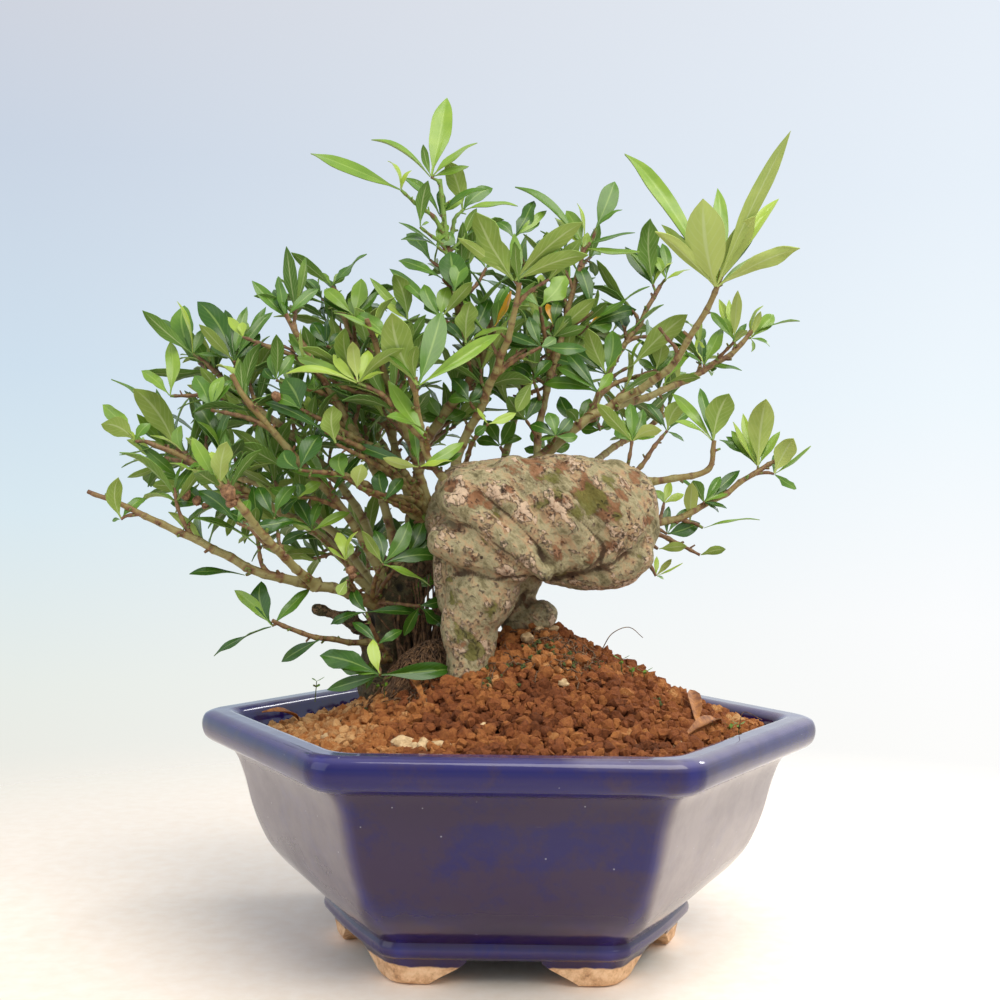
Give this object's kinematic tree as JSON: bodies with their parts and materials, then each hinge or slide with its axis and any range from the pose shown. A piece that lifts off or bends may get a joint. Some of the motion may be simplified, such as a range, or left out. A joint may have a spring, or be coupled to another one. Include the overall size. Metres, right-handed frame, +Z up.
{
  "type": "gardenia bonsai in a hexagonal pot",
  "caption": "Gardenia bonsai with a contorted, swollen trunk and glossy leaf sprays, in granular soil in a hexagonal blue glazed pot.",
  "frame": {"origin": "middle of the whole plant's bounding box, on the surface that the feet stand on", "axes": "+Z up, +X to the right seen from the front, +Y away from the front; the pot's axis lies 16 mm to the right of the origin"},
  "size_m": [0.2226, 0.1664, 0.2574],
  "materials": {
    "glaze": "gloss cobalt glaze on stoneware, bare tan clay on the feet",
    "fired_clay_soil": "matt fired-clay granules, damp in the middle",
    "trunk_bark": "flaking bark, beige and grey-green with rust and moss patches",
    "stem_bark": "thin ringed bark, tan to grey-green",
    "leaf": "glossy upper face, paler satin underside",
    "screen_plastic": "moulded",
    "staple_wire": "drawn wire"
  },
  "bodies": {
    "root": {"back_left_leaves": "leaf", "back_left_stem": "stem_bark", "back_low_leaves": "leaf", "back_low_stem": "stem_bark", "base_shoot_leaves": "leaf", "base_shoot_stem": "stem_bark", "centre_main_leaves": "leaf", "centre_main_stem": "stem_bark", "centre_thick_leaves": "leaf", "centre_thick_stem": "stem_bark", "drain_screen_left": "screen_plastic", "drain_screen_right": "screen_plastic", "front_crown_leaves": "leaf", "front_crown_stem": "stem_bark", "left_crown_leaves": "leaf", "left_crown_stem": "stem_bark", "left_cut_leaves": "leaf", "left_cut_stem": "stem_bark", "left_far_leaves": "leaf", "left_far_stem": "stem_bark", "left_high_leaves": "leaf", "left_high_stem": "stem_bark", "left_low_leaves": "leaf", "left_low_stem": "stem_bark", "left_mid_leaves": "leaf", "left_mid_stem": "stem_bark", "left_out_leaves": "leaf", "left_out_stem": "stem_bark", "left_tip_leaves": "leaf", "left_tip_stem": "stem_bark", "left_upper_leaves": "leaf", "left_upper_stem": "stem_bark", "pot": "glaze", "rear_stump": "trunk_bark", "right_back_leaves": "leaf", "right_back_stem": "stem_bark", "right_bow_leaves": "leaf", "right_bow_stem": "stem_bark", "right_far_leaves": "leaf", "right_far_stem": "stem_bark", "right_inner_leaves": "leaf", "right_inner_stem": "stem_bark", "right_main_leaves": "leaf", "right_main_stem": "stem_bark", "right_second_leaves": "leaf", "right_second_stem": "stem_bark", "screen_wire_left": "staple_wire", "screen_wire_right": "staple_wire", "soil_bed": "fired_clay_soil", "soil_shoot_leaves": "leaf", "soil_shoot_stem": "stem_bark", "top_back_leaves": "leaf", "top_back_stem": "stem_bark", "top_right_leaves": "leaf", "top_right_stem": "stem_bark", "top_tall_leaves": "leaf", "top_tall_stem": "stem_bark", "trunk": "trunk_bark"}
  },
  "joints": []
}
